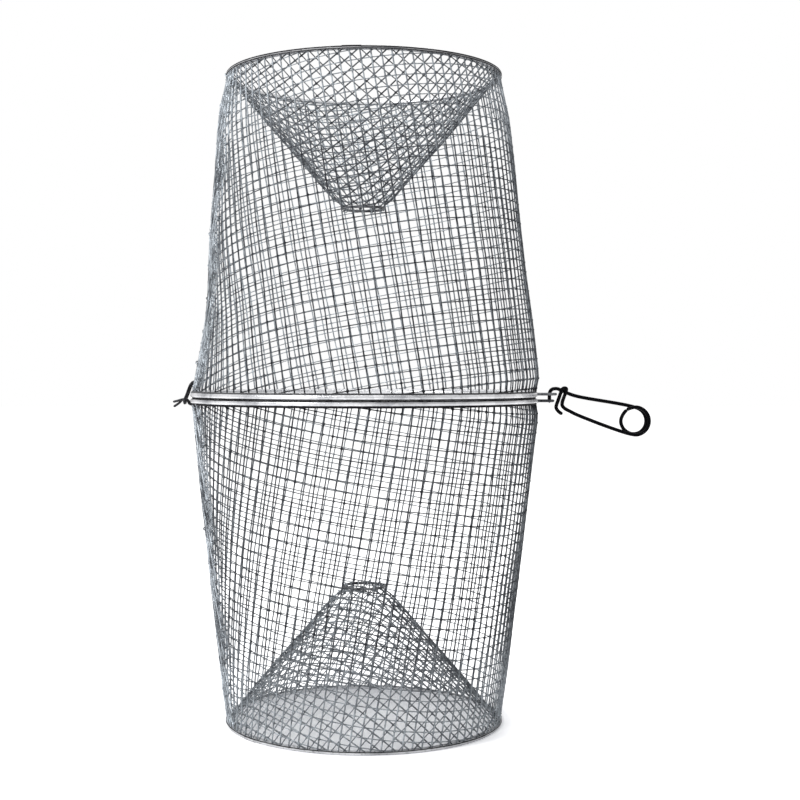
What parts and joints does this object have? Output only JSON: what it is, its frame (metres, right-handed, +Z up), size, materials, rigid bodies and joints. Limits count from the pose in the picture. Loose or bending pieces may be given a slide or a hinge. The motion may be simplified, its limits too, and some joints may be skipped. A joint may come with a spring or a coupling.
{
  "type": "minnow trap",
  "caption": "Wire mesh fish trap of two coned halves joined at their wide ends, with an entry funnel in each narrow end, a hooked joint and a spring clip.",
  "frame": {"origin": "on the trap's own axis, in the plane where the two halves part; the clip and the hooked joint are so light that the centroid lies there too", "axes": "+Z up along the trap's axis to the upper end rim, +X to the clip, -X to the hooked joint, -Y to the viewer of the picture"},
  "size_m": [0.3168, 0.2284, 0.426],
  "materials": {
    "galvanized_mesh": "satin",
    "galvanized_rim": "satin",
    "galvanized_wire": "satin",
    "dark_spring_wire": "satin"
  },
  "bodies": {
    "lower_half": {"lower_body_mesh": "galvanized_mesh", "lower_end_rim": "galvanized_rim", "lower_funnel_mesh": "galvanized_mesh", "lower_funnel_mouth_ring": "galvanized_wire", "lower_hoop": "galvanized_rim", "lower_clip_eye": "galvanized_wire", "lower_hook_prongs": "galvanized_wire"},
    "upper_half": {"upper_body_mesh": "galvanized_mesh", "upper_end_rim": "galvanized_rim", "upper_funnel_mesh": "galvanized_mesh", "upper_funnel_mouth_ring": "galvanized_wire", "upper_hoop": "galvanized_rim", "upper_clip_eye": "galvanized_wire", "upper_keeper_loop": "galvanized_wire"},
    "clip": {"clip_frame": "dark_spring_wire"},
    "clip_arm": {"clip_pin": "dark_spring_wire"}
  },
  "joints": [
    {"name": "half_hinge", "type": "hinge", "parent": "lower_half", "child": "upper_half", "pos_m": [-0.1186, 0, -0.0037], "axis": [0, -1, 0], "range_deg": [0, 90]},
    {"name": "clip_swing", "type": "hinge", "parent": "upper_half", "child": "clip", "pos_m": [0.123, 0, 0], "axis": [0, 0, 1], "range_deg": [-60, 60]},
    {"name": "clip_open", "type": "hinge", "parent": "clip", "child": "clip_arm", "pos_m": [0.1797, 0, -0.0156], "axis": [0, 1, 0], "range_deg": [0, 25]}
  ]
}
